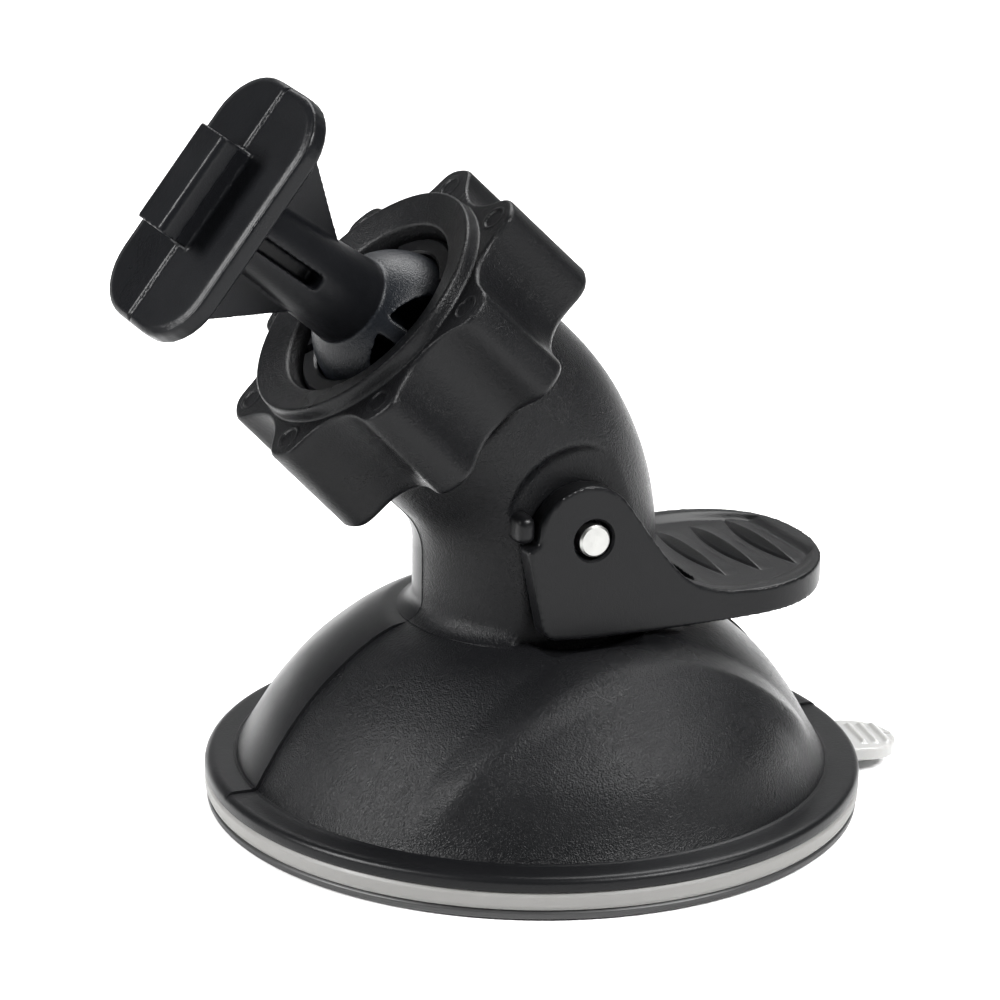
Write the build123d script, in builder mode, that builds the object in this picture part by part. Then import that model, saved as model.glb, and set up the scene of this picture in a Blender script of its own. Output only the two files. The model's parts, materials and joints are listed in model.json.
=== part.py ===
"""Suction-cup mount for a dash camera: dome base, cam lever, clamp knob and ball stud with a T-rail.

Millimetres. The origin is the centre of the suction face, +Z points away from the glass.
The neck bends towards -X, the lever's paddle points towards +X, and the lever pin lies along Y.
The mount is locked: the lever is down, so its cams hold the post and the pad's middle up.
"""
from build123d import *
import os
from math import cos, radians, sin, tan

os.makedirs("parts", exist_ok=True)

# ---------------------------------------------------------------- driving dimensions
cut_margin = 1.0           # cutting and joining profiles run this far past what they meet
pad_radius = 33.0          # suction pad and flange
gel_thickness = 1.05       # sticky gel under the pad's rim
gel_radius = 33.0
dish_inner = 8.0           # the pad's middle is flat inside this radius
pad_rim_top = 2.9          # the shell's flange rests here
seal_inner = 24.0          # the gel is flat on the glass outside this radius
pad_lift = 1.5             # how far the pad's middle is drawn up
tab_azimuth = -10.0
tab_reach = 39.0
tab_width = 8.5
tab_bottom = 1.5
tab_thickness = 1.35
tab_ridge_height = 0.35
tab_ridge_width = 0.7
tab_ridge_length = 5.0
tab_overlap = 3.0          # the tab starts this far inside the pad's edge
tab_ridge_insets = (1.6, 3.2)  # from the tab's end
boss_radius = 11.0         # the pad's boss holds the post's foot with room for its travel
boss_top = 8.9
boss_roof = 7.6
boss_straight = 2.5        # upright part of the boss's outer wall
boss_flare = (3.0, 1.6)    # run and height of the flare below it
rim_run = 2.0              # the rim's flat top ends this far outside the seal's inner edge
boss_mouth = 7.3
pocket_wall = 9.4
pad_floor = 3.5

flange_top = 4.35
dome_radius = 29.6         # dome where it meets the flange
dome_height = 21.0
shell_wall = 2.2

neck_radius = 12.05
neck_offset = 0.15         # the neck stands this far towards -X
neck_bend_radius = 18.2
neck_lean = 45.0           # angle between the socket axis and +Z
axes_meet = 33.9           # height where the socket axis crosses the Z axis
neck_core_radius = 8.2     # the hollow that holds the return spring
neck_core_top = 22.0
guide_clearance = 0.15     # around the post
pin_slot_clearance = 0.15
flange_round = 0.2
shoulder_round = 0.7
guide_top = 37.5

pin_height = 30.33
pin_radius = 1.6
pin_half_length = 13.5
pin_travel = 2.0           # how far pin and post drop when the lever is lifted
ear_inner = 10.75          # inner faces of the lever's ears
ear_outer = 13.2
ear_hole_radius = 2.0
neck_flat = 10.45          # flats on the neck beside the ears
flat_radius = 8.2          # round flat about the pin
cam_sweep_radius = 11.95   # what the cams pass through below the pin
stop_reach = 7.2           # lever stops on the neck, beside the ears' notches
stop_height = 3.0
stop_width = 1.9
stop_rise = 1.4            # the stop's middle above the pin
stop_outer = 11.3
stop_inner = 8.0
relief_gap = 0.35          # between the ears' outer faces and the reliefs in the dome
paddle_start = 14.5
paddle_tip = 30.0
paddle_nose = 12.6         # length of the paddle's rounded end
ear_heel = 10.0            # the ears lie within this far behind the pin

socket_shoulder = 13.1     # distances along the socket axis from where it crosses Z
knob_back = 13.8
knob_length = 12.8
ball_behind_rim = 4.75
ball_radius = 7.77
seat_radius = 7.97
collet_radius = 10.9
collet_straight = 19.0     # where the collet starts to taper
collet_tip = 24.3
collet_tip_radius = 9.3
collet_slot = 1.2
collet_slot_depth = 9.7

knob_lobes = 8
lobe_radius = 17.5
lobe_phase = 18.0
valley_radius = 14.2
scallop_radius = 6.0
rim_radius = 13.3
rim_height = 1.5
rim_edge = 0.3             # flat on top of the rim
lobe_round = 1.2
knob_end_round = 0.6
mouth_radius = 10.0
mouth_depth = 0.95
knob_clearance = 0.3       # between the knob and the collet
dot_circle = 15.15
dot_radius = 0.9
dot_depth = 0.25

stud_elevation = 35.7      # stem above the horizontal
stud_side = -15.0          # stem turned towards -Y
stud_twist = -2.0          # plate turned about the stem
plate_distance = 26.3      # from the ball's centre to the plate's front face
plate_thickness = 2.45
plate_length = 26.3
plate_width = 15.2
plate_round = 0.8
stem_overlap = 0.5         # stem and gussets run this far into the plate
stem_plate_radius = 3.5
stem_ball_radius = 4.35
slot_start = 13.4          # slot in the stem's side
slot_length = 7.6
slot_width = 1.25
slot_depth = 1.4
slot_side = -0.3
rail_length = 10.2
rail_width = 5.0
rail_height = 4.4
web_width = 3.0
web_height = 2.2
rail_offset = 0.6          # rail's middle towards the plate's upper end
rail_round = 0.5
gusset_thickness = 2.0
gusset_reach = 11.6
gusset_foot = 6.4          # the gussets' edges run towards this point on the stem's axis
rib_width = 1.7
pocket_radius = 5.6
pocket_floor = 3.4
core_radius = 2.4
core_room = 2.65
core_gap = 0.15            # half of the gap between the two core halves

post_radius = 4.0
post_top = 36.5
post_round = 0.6
pin_fit = 0.02
pin_chamfer = 0.2
foot_radius = 9.2
foot_bottom = 5.6
foot_thickness = 1.8
spring_wire = 0.5
spring_radius = 6.2
spring_pitch = 2.3
washer_thickness = 0.7
washer_gap = 0.3
spring_end_gap = 0.05

# ---------------------------------------------------------------- working planes
lean = radians(neck_lean)
socket_direction = Vector(-sin(lean), 0, cos(lean))


def along_socket(distance):
    """Point on the socket axis, measured from where it crosses the Z axis."""
    return Vector(0, 0, axes_meet) + socket_direction * distance


def socket_plane(distance):
    """Plane across the socket axis: its x is the row's +Y, its normal points out of the mouth."""
    return Plane(origin=along_socket(distance), x_dir=(0, 1, 0), z_dir=socket_direction)


# plane that holds the socket axis: its x is the radius, its y the distance along the axis
socket_section = Plane(origin=(0, 0, axes_meet), x_dir=(cos(lean), 0, sin(lean)), z_dir=(0, -1, 0))
socket_axis = Axis(origin=(0, 0, axes_meet), direction=socket_direction)
rim_distance = knob_back + knob_length
ball_centre = along_socket(rim_distance - ball_behind_rim)

rise = radians(stud_elevation)
side = radians(stud_side)
stem_direction = Vector(-cos(rise) * cos(side), cos(rise) * sin(side), sin(rise))
uphill = Vector(sin(rise), 0, cos(rise))
stem_axis = Axis(origin=ball_centre, direction=stem_direction)
plate_direction = uphill.rotate(Axis(origin=(0, 0, 0), direction=stem_direction), stud_twist)
stud_plane = Plane(origin=ball_centre, x_dir=plate_direction, z_dir=stem_direction)
# plane that holds the stem: its x is the plate's long axis, its y the distance from the ball
stud_section = Plane(origin=ball_centre, x_dir=stud_plane.x_dir, z_dir=-stud_plane.y_dir)

# ---------------------------------------------------------------- base shell
def dome_profile(inset):
    """Half outline of the dome in the XZ plane, moved inwards by inset."""
    with BuildSketch(Plane.XZ) as half:
        with BuildLine():
            foot = (dome_radius - inset, pad_rim_top)
            crown = (0, dome_height - inset)
            wall = Line(foot, (dome_radius - inset, flange_top))
            Spline(
                wall @ 1,
                (25.9 - inset, 10.4 - 0.4 * inset),
                (20.1 - 0.8 * inset, 16.3 - 0.7 * inset),
                (11.5 - 0.3 * inset, 20.2 - inset),
                crown,
                tangents=((-0.35, 1), (-1, 0)),
                tangent_scalars=(0.6, 1),
            )
            Polyline(crown, (0, pad_rim_top), foot)
        make_face()
    return half.sketch


with BuildPart() as base_shell:
    with BuildSketch(Plane.XZ):
        add(dome_profile(0))
    revolve(axis=Axis.Z)
    with BuildSketch(Plane.XY.offset(pad_rim_top)):
        Circle(pad_radius)
    extrude(amount=flange_top - pad_rim_top)
    fillet(base_shell.edges().filter_by(GeomType.CIRCLE).sort_by(SortBy.RADIUS)[-1], flange_round)
    # neck: up, round the bend, and out to the socket's shoulder
    bend_reach = neck_bend_radius * tan(lean / 2)
    corner = along_socket(neck_offset / sin(lean))
    bend_start = corner - Vector(0, 0, bend_reach)
    with BuildLine():
        upright = Line((-neck_offset, 0, flange_top), bend_start)
        elbow = TangentArc(upright @ 1, corner + socket_direction * bend_reach, tangent=(0, 0, 1))
        Line(elbow @ 1, along_socket(socket_shoulder))
    with BuildSketch(Plane.XY.offset(flange_top)):
        with Locations((-neck_offset, 0)):
            Circle(neck_radius)
    sweep()
    shoulder_edge = base_shell.edges().filter_by(GeomType.CIRCLE).sort_by(socket_axis)[-1]
    fillet(shoulder_edge, shoulder_round)
    # collet that grips the ball
    with BuildSketch(socket_section):
        with BuildLine():
            Polyline(
                (0, socket_shoulder - cut_margin),
                (collet_radius, socket_shoulder - cut_margin),
                (collet_radius, collet_straight),
                (collet_tip_radius, collet_tip),
                (0, collet_tip),
                close=True,
            )
        make_face()
    revolve(axis=socket_axis)
    with Locations(ball_centre):
        Sphere(seat_radius, mode=Mode.SUBTRACT)
    with BuildSketch(socket_plane(collet_tip)):
        Rectangle(collet_slot, 3 * collet_radius, rotation=45)
        Rectangle(collet_slot, 3 * collet_radius, rotation=-45)
    extrude(amount=-collet_slot_depth, mode=Mode.SUBTRACT)
    # hollow dome, and the neck's core for the spring
    with BuildSketch(Plane.XZ):
        add(dome_profile(shell_wall))
    revolve(axis=Axis.Z, mode=Mode.SUBTRACT)
    with BuildSketch(Plane.XY.offset(pad_rim_top)):
        Circle(neck_core_radius)
    extrude(amount=neck_core_top - pad_rim_top, mode=Mode.SUBTRACT)
    with BuildSketch(Plane.XY.offset(neck_core_top)):
        Circle(post_radius + guide_clearance)
    extrude(amount=guide_top - neck_core_top, mode=Mode.SUBTRACT)
    # upright slots that the pin travels in
    slot_radius = pin_radius + pin_slot_clearance
    with BuildSketch(Plane.XZ):
        with Locations((0, pin_height - pin_travel / 2)):
            SlotCenterToCenter(pin_travel + pin_slot_clearance, 2 * slot_radius, rotation=90)
    extrude(amount=2 * neck_radius, both=True, mode=Mode.SUBTRACT)
    # flats beside the ears, and shallow reliefs in the dome that the cams turn in
    for way in (1, -1):
        with BuildSketch(Plane.XZ.offset(way * neck_flat)):
            with Locations((0, pin_height)):
                Circle(cam_sweep_radius)
                Rectangle(
                    3 * cam_sweep_radius,
                    2 * cam_sweep_radius,
                    align=(Align.CENTER, Align.MIN),
                    mode=Mode.SUBTRACT,
                )
                Circle(flat_radius)
        extrude(amount=way * (ear_outer + relief_gap - neck_flat), mode=Mode.SUBTRACT)
    # small upright stop on the neck beside each ear's notch
    for way in (1, -1):
        with BuildSketch(Plane.XZ.offset(way * stop_inner)):
            with Locations((-stop_reach, pin_height + stop_rise)):
                SlotOverall(stop_height, stop_width, rotation=90)
        extrude(amount=way * (stop_outer - stop_inner))
base_shell.part.label = "base_shell"
export_step(base_shell.part, "parts/base_shell.step")

# ---------------------------------------------------------------- suction pad, gel and tab
with BuildPart() as suction_pad:
    with BuildSketch(Plane.XZ) as pad_section:
        with BuildLine():
            Polyline(
                (pad_radius, gel_thickness),
                (pad_radius, pad_rim_top),
                (seal_inner + rim_run, pad_rim_top),
                (boss_radius + boss_flare[0], pad_rim_top + boss_flare[1]),
                (boss_radius, boss_top - boss_straight),
                (boss_radius, boss_top),
                (boss_mouth, boss_top),
                (boss_mouth, boss_roof),
                (pocket_wall, boss_roof),
                (pocket_wall, pad_floor),
                (0, pad_floor),
                (0, gel_thickness + pad_lift),
                (dish_inner, gel_thickness + pad_lift),
                (seal_inner, gel_thickness),
                close=True,
            )
        make_face()
    revolve(axis=Axis.Z)
    # pull tab with a rounded end and two grip ridges
    tab_plane = Plane.XY.offset(tab_bottom).rotated((0, 0, tab_azimuth))
    tab_root = pad_radius - tab_overlap
    tab_end_centre = tab_reach - tab_width / 2
    with BuildSketch(tab_plane):
        with Locations((tab_root, 0)):
            Rectangle(tab_end_centre - tab_root, tab_width, align=(Align.MIN, Align.CENTER))
        with Locations((tab_end_centre, 0)):
            Circle(tab_width / 2)
    extrude(amount=tab_thickness)
    with BuildSketch(tab_plane.offset(tab_thickness)):
        for inset in tab_ridge_insets:
            with Locations((tab_reach - inset, 0)):
                SlotOverall(tab_ridge_length, tab_ridge_width, rotation=90)
    extrude(amount=tab_ridge_height)
suction_pad.part.label = "suction_pad"
export_step(suction_pad.part, "parts/suction_pad.step")

with BuildPart() as gel_layer:
    with BuildSketch(Plane.XZ):
        with BuildLine():
            Polyline(
                (seal_inner, 0),
                (gel_radius, 0),
                (gel_radius, gel_thickness),
                (seal_inner, gel_thickness),
                (dish_inner, gel_thickness + pad_lift),
                (0, gel_thickness + pad_lift),
                (0, pad_lift),
                (dish_inner, pad_lift),
                close=True,
            )
        make_face()
    revolve(axis=Axis.Z)
gel_layer.part.label = "gel_layer"
export_step(gel_layer.part, "parts/gel_layer.step")

# ---------------------------------------------------------------- post, spring and pin
with BuildPart() as pull_post:
    with BuildSketch(Plane.XY.offset(foot_bottom)):
        Circle(foot_radius)
    extrude(amount=foot_thickness)
    with BuildSketch(Plane.XY.offset(foot_bottom)):
        Circle(post_radius)
    extrude(amount=post_top - foot_bottom)
    fillet(pull_post.edges().filter_by(GeomType.CIRCLE).sort_by(Axis.Z)[-1], post_round)
    with BuildSketch(Plane.XZ.offset(-post_radius)):
        with Locations((0, pin_height)):
            Circle(pin_radius + pin_fit)
    extrude(amount=2 * post_radius, mode=Mode.SUBTRACT)
pull_post.part.label = "pull_post"
export_step(pull_post.part, "parts/pull_post.step")

with BuildPart() as lever_pin:
    with BuildSketch(Plane.XZ.offset(-pin_half_length)):
        with Locations((0, pin_height)):
            Circle(pin_radius)
    extrude(amount=2 * pin_half_length)
    chamfer(lever_pin.edges().filter_by(GeomType.CIRCLE), pin_chamfer)
lever_pin.part.label = "lever_pin"
export_step(lever_pin.part, "parts/lever_pin.step")

spring_bottom = foot_bottom + foot_thickness
spring_top = neck_core_top - washer_thickness
with BuildPart() as return_spring:
    spring_run = spring_top - spring_bottom - 2 * (spring_wire + spring_end_gap)
    with BuildLine(Plane.XY.offset(spring_bottom + spring_wire + spring_end_gap)) as coil:
        Helix(pitch=spring_pitch, height=spring_run, radius=spring_radius)
    with BuildSketch(Plane(origin=coil.wires()[0] @ 0, z_dir=coil.wires()[0] % 0)):
        Circle(spring_wire)
    sweep(is_frenet=True)
return_spring.part.label = "return_spring"
export_step(return_spring.part, "parts/return_spring.step")

with BuildPart() as spring_washer:
    with BuildSketch(Plane.XY.offset(spring_top)):
        Circle(neck_core_radius - washer_gap)
        Circle(post_radius + washer_gap, mode=Mode.SUBTRACT)
    extrude(amount=washer_thickness)
spring_washer.part.label = "spring_washer"
export_step(spring_washer.part, "parts/spring_washer.step")

# ---------------------------------------------------------------- cam lever
with BuildPart() as cam_lever:
    # side outline, measured from the pin
    with BuildSketch(Plane(origin=(0, 0, pin_height), x_dir=(1, 0, 0), z_dir=(0, -1, 0))):
        with BuildLine():
            heel = Line((-5.2, -8.7), (-6.9, -0.4))
            notch = Polyline(heel @ 1, (-5.7, 0.1), (-5.6, 1.8))
            crest = ThreePointArc(notch @ 1, (-0.6, 5.4), (3.3, 3.6))
            slope = Line(crest @ 1, (8.3, -3.1))
            swoop = Spline(slope @ 1, (11.7, -5.95), (16.2, -7.1), tangents=((5.0, -6.7), (1, 0)))
            top = Spline(swoop @ 1, (paddle_tip, -6.3), tangents=((1, 0), (1, 0.15)))
            tip = Line(top @ 1, (paddle_tip, -8.9))
            belly = Spline(tip @ 1, (16.5, -10.0), tangents=((-1, -0.15), (-1, 0)))
            Polyline(belly @ 1, (6.9, -10.2), (-3.8, -9.9), heel @ 0)
        make_face()
    extrude(amount=ear_outer, both=True)
    # the paddle's plan: straight sides and a rounded nose
    with BuildSketch(Plane.XY):
        nose_start = paddle_tip - paddle_nose
        with Locations((nose_start, 0)):
            Ellipse(paddle_nose, ear_outer)
        with Locations((-ear_heel, 0)):
            Rectangle(nose_start + ear_heel, 2 * ear_outer, align=(Align.MIN, Align.CENTER))
    extrude(amount=2 * pin_height, mode=Mode.INTERSECT)
    # room for the neck, and the pin's hole
    with BuildSketch(Plane.XY):
        with Locations((-ear_heel, 0)):
            Rectangle(paddle_start + ear_heel, 2 * ear_inner, align=(Align.MIN, Align.CENTER))
    extrude(amount=2 * pin_height, mode=Mode.SUBTRACT)
    with BuildSketch(Plane.XZ):
        with Locations((0, pin_height)):
            Circle(ear_hole_radius)
    extrude(amount=2 * ear_outer, both=True, mode=Mode.SUBTRACT)
cam_lever.part.label = "cam_lever"
export_step(cam_lever.part, "parts/cam_lever.step")

# ---------------------------------------------------------------- clamp knob
valley_phase = lobe_phase + 180 / knob_lobes
with BuildPart() as clamp_knob:
    with BuildSketch(socket_plane(knob_back)):
        Circle(lobe_radius)
        with PolarLocations(valley_radius + scallop_radius, knob_lobes, start_angle=valley_phase):
            Circle(scallop_radius, mode=Mode.SUBTRACT)
    extrude(amount=knob_length - rim_height)
    fillet(clamp_knob.edges().filter_by(socket_axis), lobe_round)
    knob_ends = clamp_knob.faces().filter_by(socket_axis).edges()
    fillet(knob_ends, knob_end_round)
    with BuildSketch(socket_plane(rim_distance - rim_height)):
        Circle(rim_radius)
    extrude(amount=rim_height)
    # conical face down to the mouth, and the inside that closes the collet
    with BuildSketch(socket_section):
        with BuildLine():
            Polyline(
                (0, knob_back - cut_margin),
                (collet_radius + knob_clearance, knob_back - cut_margin),
                (collet_radius + knob_clearance, collet_straight),
                (collet_tip_radius + knob_clearance, collet_tip),
                (mouth_radius, rim_distance - mouth_depth),
                (rim_radius - rim_edge, rim_distance),
                (rim_radius - rim_edge, rim_distance + cut_margin),
                (0, rim_distance + cut_margin),
                close=True,
            )
        make_face()
    revolve(axis=socket_axis, mode=Mode.SUBTRACT)
    # a shallow dimple on each lobe
    with BuildSketch(socket_plane(rim_distance - rim_height)):
        with PolarLocations(dot_circle, knob_lobes, start_angle=lobe_phase):
            Circle(dot_radius)
    extrude(amount=-dot_depth, mode=Mode.SUBTRACT)
clamp_knob.part.label = "clamp_knob"
export_step(clamp_knob.part, "parts/clamp_knob.step")

# ---------------------------------------------------------------- ball stud
plate_back = plate_distance - plate_thickness
with BuildPart() as ball_stud:
    with Locations(ball_centre):
        Sphere(ball_radius)
    # stem, and two gussets that carry the plate
    with BuildSketch(stud_section):
        with BuildLine():
            Polyline(
                (0, 0),
                (stem_ball_radius, 0),
                (stem_ball_radius, ball_radius),
                (stem_plate_radius, plate_back + stem_overlap),
                (0, plate_back + stem_overlap),
                close=True,
            )
        make_face()
    revolve(axis=stem_axis)
    with BuildSketch(stud_section):
        with BuildLine():
            Polyline(
                (-gusset_reach, plate_back + stem_overlap),
                (-gusset_reach, plate_back),
                (0, gusset_foot),
                (gusset_reach, plate_back),
                (gusset_reach, plate_back + stem_overlap),
                close=True,
            )
        make_face()
    extrude(amount=gusset_thickness / 2, both=True)
    with BuildSketch(stud_plane.offset(plate_back)):
        SlotOverall(plate_length, plate_width)
    extrude(amount=plate_thickness)
    plate_edges = ball_stud.faces().filter_by(stem_axis).sort_by(stem_axis)[-1].edges()
    fillet(plate_edges, plate_round)
    # T-rail
    with BuildSketch(stud_plane.offset(plate_distance)):
        with Locations((rail_offset, 0)):
            Rectangle(rail_length, web_width)
    extrude(amount=web_height)
    with BuildSketch(stud_plane.offset(plate_distance + web_height)):
        with Locations((rail_offset, 0)):
            RectangleRounded(rail_length, rail_width, rail_round)
    extrude(amount=rail_height - web_height)
    # cored pockets on the ball's two sides, split by a rib, and the slot in the stem
    for way in (1, -1):
        with BuildSketch(stud_section.offset(way * pocket_floor)):
            Circle(pocket_radius)
            Rectangle(rib_width, 3 * pocket_radius, mode=Mode.SUBTRACT)
        extrude(amount=way * ball_radius, mode=Mode.SUBTRACT)
    with BuildSketch(stud_section.offset(stem_plate_radius - slot_depth)):
        with Locations((slot_side, slot_start)):
            Rectangle(slot_width, slot_length, align=(Align.CENTER, Align.MIN))
    extrude(amount=ball_radius, mode=Mode.SUBTRACT)
    with Locations(ball_centre):
        Sphere(core_room, mode=Mode.SUBTRACT)
ball_stud.part.label = "ball_stud"
export_step(ball_stud.part, "parts/ball_stud.step")

# the solid middle of the ball, kept as two halves so that each turn of the ball has a body of its own
for way, core_name in ((1, "ball_core_left"), (-1, "ball_core_right")):
    with BuildPart() as core_half:
        with Locations(ball_centre):
            Sphere(core_radius)
        split(bisect_by=Plane.XZ.offset(way * core_gap), keep=Keep.TOP if way > 0 else Keep.BOTTOM)
    core_half.part.label = core_name
    export_step(core_half.part, f"parts/{core_name}.step")
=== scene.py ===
"""Looks of the dash camera suction mount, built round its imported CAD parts.

Lengths are in millimetres until a mesh is made, in the frame of the CAD parts: the origin is the
middle of the suction face, +Z points away from the glass, +X towards the lever's paddle, and the
lever pin lies along Y.
"""
import json
from math import acos, ceil, cos, pi, radians, sin, sqrt, tan

import bmesh
import bpy
import numpy as np
from mathutils import Matrix, Vector


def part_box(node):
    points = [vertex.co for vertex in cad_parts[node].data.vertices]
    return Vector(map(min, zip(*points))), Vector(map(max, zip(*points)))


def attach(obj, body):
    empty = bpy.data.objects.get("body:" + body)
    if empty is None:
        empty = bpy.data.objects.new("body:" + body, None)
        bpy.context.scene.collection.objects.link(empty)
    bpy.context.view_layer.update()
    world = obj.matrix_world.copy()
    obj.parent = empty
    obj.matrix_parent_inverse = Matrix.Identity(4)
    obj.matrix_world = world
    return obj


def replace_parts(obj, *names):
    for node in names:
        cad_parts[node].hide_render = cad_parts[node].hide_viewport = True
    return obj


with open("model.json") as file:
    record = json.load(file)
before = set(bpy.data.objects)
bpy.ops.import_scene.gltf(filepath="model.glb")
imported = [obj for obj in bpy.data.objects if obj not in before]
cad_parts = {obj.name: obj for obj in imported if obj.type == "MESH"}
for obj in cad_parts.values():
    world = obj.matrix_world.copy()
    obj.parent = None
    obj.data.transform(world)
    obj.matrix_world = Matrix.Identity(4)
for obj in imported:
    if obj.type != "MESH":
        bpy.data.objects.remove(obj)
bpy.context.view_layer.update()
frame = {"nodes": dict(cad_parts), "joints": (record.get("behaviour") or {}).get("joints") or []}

MM = 0.001
scene = bpy.context.scene
scene.view_settings.view_transform = "Standard"

# ---------------------------------------------------------------- places taken from the frame
joints = {joint["name"]: joint for joint in frame["joints"]}
ball_centre = np.array(joints["ball_turn"]["pos_m"]) / MM
socket_axis = np.array(joints["ball_turn"]["axis"])
stem_axis = np.array(joints["ball_spin"]["axis"])
pin_centre = np.array(joints["lever_lift"]["pos_m"]) / MM
X_AXIS, Y_AXIS, Z_AXIS = np.eye(3)
socket_up = np.cross(Y_AXIS, socket_axis)      # across the socket, in the XZ plane, upwards


def node_box(node):
    """Lowest and highest corner of a CAD node in millimetres."""
    low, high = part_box(node)
    return np.array(low) / MM, np.array(high) / MM


flange_radius = node_box("base_shell")[1][0]
ball_from_cross = 21.85                        # ball's centre along the socket axis
axes_meet = ball_centre - socket_axis * ball_from_cross


# ---------------------------------------------------------------- numbers and curves
def smoothstep(low, high, value):
    """0 up to low, 1 from high, and a smooth rise between them."""
    t = np.clip((value - low) / (high - low), 0, 1)
    return t * t * (3 - 2 * t)


def soft_ramp(value, corner):
    """0 below 0, 1 above 1, with both corners rounded by corner."""
    steps = np.linspace(-corner, corner, 9)
    return np.mean([np.clip(value + step, 0, 1) for step in steps], axis=0)


def rounded(corners, step=0.4, closed=True):
    """Outline through corners (x, y, radius): round corners, and points about a step apart."""
    count = len(corners)
    arcs = []
    for i, (x, y, radius) in enumerate(corners):
        here = np.array((x, y))
        if not closed and i in (0, count - 1):
            arcs.append([here])
            continue
        before = np.array(corners[i - 1][:2])
        after = np.array(corners[(i + 1) % count][:2])
        run_in, run_out = np.linalg.norm(here - before), np.linalg.norm(after - here)
        inwards, outwards = (here - before) / run_in, (after - here) / run_out
        turn = acos(min(1.0, max(-1.0, float(inwards @ outwards))))
        reach = min(radius * tan(turn / 2), 0.49 * run_in, 0.49 * run_out)
        if reach < 1e-6:
            arcs.append([here])
            continue
        start, end, weight = here - inwards * reach, here + outwards * reach, cos(turn / 2)
        points = []
        for t in np.linspace(0, 1, max(3, ceil(turn / radians(12)) + 1)):
            shares = np.array(((1 - t) ** 2, 2 * t * (1 - t) * weight, t * t))
            points.append((shares @ np.array((start, here, end))) / shares.sum())
        arcs.append(points)
    outline = []
    for i, points in enumerate(arcs):
        outline.extend(points)
        if closed or i < count - 1:
            start, end = points[-1], arcs[(i + 1) % count][0]
            pieces = max(1, ceil(np.linalg.norm(end - start) / step))
            outline.extend(start + (end - start) * k / pieces for k in range(1, pieces))
    return np.array(outline)


def through(points, count):
    """Smooth curve through a few points, as count points."""
    known = np.array(points, float)
    ends = 2 * known[:1] - known[1:2], 2 * known[-1:] - known[-2:-1]
    padded = np.concatenate((ends[0], known, ends[1]))
    place = np.linspace(0, len(known) - 1.0001, count)
    index = place.astype(int)
    t = (place - index)[:, None]
    a, b, c, d = (padded[index + k] for k in range(4))
    square = 2 * a - 5 * b + 4 * c - d
    cube = 3 * b - a - 3 * c + d
    return 0.5 * (2 * b + (c - a) * t + square * t**2 + cube * t**3)


# ---------------------------------------------------------------- meshes
def finish_mesh(obj, sharp=38):
    """Smooth shading with edges sharper than the angle kept."""
    obj.data.polygons.foreach_set("use_smooth", [True] * len(obj.data.polygons))
    obj.data.set_sharp_from_angle(angle=radians(sharp))
    obj.data.update()
    return obj


def new_object(name, points, faces):
    """Object of points in millimetres, welded, and turned right side out if it is closed."""
    mesh = bpy.data.meshes.new(name)
    mesh.from_pydata((np.asarray(points) * MM).tolist(), [], faces)
    work = bmesh.new()
    work.from_mesh(mesh)
    bmesh.ops.remove_doubles(work, verts=work.verts, dist=2e-7)
    bmesh.ops.recalc_face_normals(work, faces=work.faces)
    if all(edge.is_manifold for edge in work.edges) and work.calc_volume(signed=True) < 0:
        bmesh.ops.reverse_faces(work, faces=work.faces)
    work.to_mesh(mesh)
    work.free()
    obj = bpy.data.objects.new(name, mesh)
    scene.collection.objects.link(obj)
    return finish_mesh(obj)


def skin(name, grid, ring=False):
    """Mesh over rows of points, each a closed loop. The end rows are capped, or joined in a ring."""
    grid = np.asarray(grid, float)
    rows, columns = grid.shape[:2]
    index = np.arange(rows * columns).reshape(rows, columns)
    upper = index if ring else index[:-1]
    lower = np.roll(index, -1, axis=0) if ring else index[1:]
    quads = np.stack((upper, np.roll(upper, -1, 1), np.roll(lower, -1, 1), lower), -1)
    faces = quads.reshape(-1, 4).tolist()
    if not ring:
        for row in (0, -1):
            if np.ptp(grid[row], axis=0).max() > 1e-4:
                faces.append(index[row].tolist())
    return new_object(name, grid.reshape(-1, 3), faces)


def turned(profile, angles, origin, axis, start):
    """Grid of a profile (radius, height) turned about an axis."""
    profile = np.asarray(profile)
    side = np.cross(axis, start)
    spokes = np.cos(angles)[:, None] * start + np.sin(angles)[:, None] * side
    return origin + profile[:, None, :1] * spokes + profile[:, None, 1:] * axis


def prism(name, outline, origin, across, up, low, high):
    """Straight solid of a flat outline: its x runs along across, its y along up."""
    outline = np.asarray(outline)
    flat = origin + outline[:, :1] * across + outline[:, 1:] * up
    normal = np.cross(across, up)
    return skin(name, np.stack((flat + normal * low, flat + normal * high)))


def apply_modifiers(obj):
    """Puts what the modifiers make into the object's own mesh."""
    depsgraph = bpy.context.evaluated_depsgraph_get()
    made = bpy.data.meshes.new_from_object(obj.evaluated_get(depsgraph))
    obj.modifiers.clear()
    obj.data = made
    return obj


def combine(obj, other, operation):
    """Joins, cuts or crosses two closed solids, and removes the second."""
    modifier = obj.modifiers.new("combine", "BOOLEAN")
    modifier.object = other
    modifier.operation = operation
    modifier.solver = "MANIFOLD"
    apply_modifiers(obj)
    bpy.data.objects.remove(other)
    return obj


def melt(obj, voxel, rounds):
    """Remeshes a solid evenly and rounds its edges, as a moulding's are.

    It is turned askew meanwhile, so that no flat side lies along the voxels and comes out wavy.
    """
    askew = Matrix.Rotation(0.62, 4, Vector((0.41, 0.72, 0.56)))
    obj.data.transform(askew)
    remesh = obj.modifiers.new("remesh", "REMESH")
    remesh.mode = "VOXEL"
    remesh.voxel_size = voxel * MM
    smooth = obj.modifiers.new("smooth", "SMOOTH")
    smooth.factor = 0.5
    smooth.iterations = rounds
    apply_modifiers(obj)
    obj.data.transform(askew.inverted())
    return obj


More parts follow.
